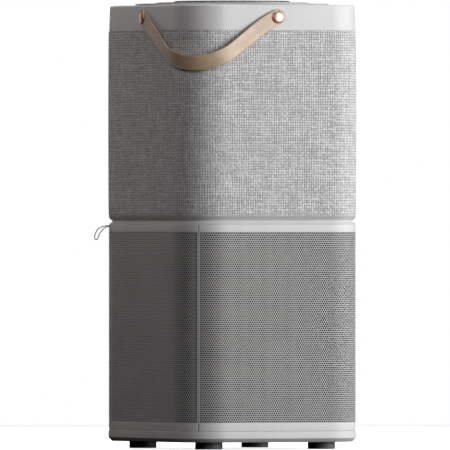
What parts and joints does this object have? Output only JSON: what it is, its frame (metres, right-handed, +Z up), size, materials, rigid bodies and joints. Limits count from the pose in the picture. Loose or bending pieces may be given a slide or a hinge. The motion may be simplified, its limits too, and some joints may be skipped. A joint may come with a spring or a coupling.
{
  "type": "air purifier",
  "caption": "Tower air purifier with a perforated intake and swing door, a round filter, a fabric-covered fan housing, a stepped round outlet grille and a leather carrying strap.",
  "frame": {"origin": "on the floor, under the middle of the body's outline, midway between the four feet", "axes": "+Z up; -X out of the filter door; -Y out of the next side, which shares the strap's corner; +X out of the side with the mains inlet"},
  "size_m": [0.2769, 0.2982, 0.5901],
  "materials": {
    "rubber": "matt dark grey rubber",
    "steel": "plain steel",
    "plastic_light": "warm light grey, satin, finely grained",
    "plastic_grey": "mid grey moulding, matt",
    "plastic_dark": "charcoal moulding, matt",
    "plastic_gloss": "black touch surface, gloss",
    "plastic_gloss_light": "light grey button, satin gloss",
    "plastic_white": "white fan moulding",
    "painted_sheet": "warm light grey powder coat on perforated sheet",
    "woven_fabric": "light grey melange weave with slubs",
    "woven_tape": "grey woven tape",
    "leather": "tan leather, cut edges darker",
    "rose_copper": "polished rose copper",
    "copper_winding": "enamelled copper wire",
    "circuit_board": "green solder mask",
    "filter_paper": "off-white pleated paper",
    "carbon": "black carbon felt",
    "filter_mesh": "fine grey mesh",
    "foam": "dark grey closed-cell foam"
  },
  "bodies": {
    "root": {"feet": "rubber", "foot_screws": "steel", "base_tray": "plastic_light", "filter_rails": "plastic_grey", "corner_posts": "plastic_grey", "post_screws": "steel", "intake_shell": "painted_sheet", "mains_inlet": "plastic_dark", "inlet_contacts": "steel", "waist_frame": "plastic_light", "inlet_ring": "plastic_grey", "upper_housing": "plastic_grey", "fabric_cover": "woven_fabric", "hem_strip": "plastic_light", "fan_duct": "plastic_grey", "diffuser": "plastic_grey", "motor_stator": "copper_winding", "motor_cap": "plastic_grey", "bearings": "steel", "main_board": "circuit_board", "power_supply": "plastic_grey", "particle_sensor": "plastic_dark", "door_sensor": "plastic_dark", "strike_plates": "steel", "top_ring": "plastic_light", "top_cover": "plastic_light", "outlet_grille": "plastic_dark", "control_hub": "plastic_gloss", "display_board": "circuit_board", "key_switch": "steel", "rivets": "rose_copper", "rivet_plates": "steel", "strap_ends": "leather"},
    "door": {"door_skin": "painted_sheet", "door_frame": "plastic_grey", "hinge_pins": "steel", "door_magnets": "steel", "pull_loop": "woven_tape", "loop_clip": "plastic_grey"},
    "filter": {"filter_media": "filter_paper", "carbon_lining": "carbon", "prefilter_mesh": "filter_mesh", "filter_cap_bottom": "plastic_dark", "filter_cap_top": "plastic_dark", "filter_seal": "foam", "filter_tab": "woven_tape"},
    "fan": {"impeller": "plastic_white", "motor_shaft": "steel", "motor_rotor": "steel"},
    "handle": {"handle_strap": "leather"},
    "button": {"power_button": "plastic_gloss_light"}
  },
  "joints": [
    {"name": "door_swing", "type": "hinge", "parent": "root", "child": "door", "pos_m": [-0.11304, -0.11524, 0.16], "axis": [0, 0, 1], "range_deg": [0, 110]},
    {"name": "filter_slide", "type": "slide", "parent": "root", "child": "filter", "axis": [-1, 0, 0], "range_m": [0, 0.198]},
    {"name": "impeller_spin", "type": "hinge", "parent": "root", "child": "fan", "pos_m": [0, 0, 0.35], "axis": [0, 0, 1], "continuous": true},
    {"name": "handle_lift", "type": "hinge", "parent": "root", "child": "handle", "pos_m": [-0.131, -0.003, 0.5674], "axis": [-0.6663, 0.7457, 0], "range_deg": [0, 75]},
    {"name": "button_press", "type": "slide", "parent": "root", "child": "button", "axis": [0, 0, -1], "range_m": [0, 0.001], "stiffness_N_per_m": 800}
  ],
  "couplings": [
    {"joint": "filter_slide", "follows": "door_swing", "m_per_rad": 0.10313}
  ]
}
